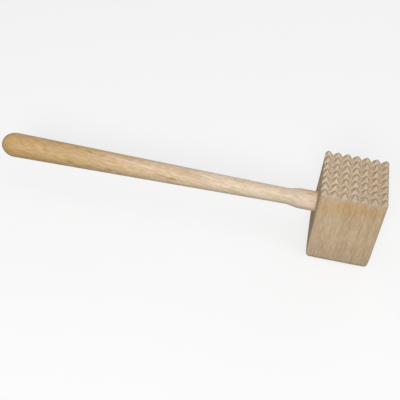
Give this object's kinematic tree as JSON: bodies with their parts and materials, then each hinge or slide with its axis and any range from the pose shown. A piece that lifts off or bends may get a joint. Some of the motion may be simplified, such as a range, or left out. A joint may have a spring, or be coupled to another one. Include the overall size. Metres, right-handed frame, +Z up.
{
  "type": "meat mallet",
  "caption": "Wooden meat mallet: a block head with pyramid teeth on its upper face and a smooth lower face, on a turned tapered handle wedged through the head.",
  "frame": {"origin": "centre of the smooth striking face, on the underside of the head", "axes": "+X along the handle, from the grip end towards the far face of the head; +Z up, from the smooth striking face to the toothed one; +Y across the head"},
  "size_m": [0.371, 0.06, 0.088],
  "materials": {
    "head_wood": "matt, planed, unvarnished",
    "handle_wood": "matt, turned and sanded",
    "wedge_wood": "matt, sawn flush"
  },
  "bodies": {
    "root": {"head": "head_wood", "handle": "handle_wood", "wedge": "wedge_wood"}
  },
  "joints": []
}
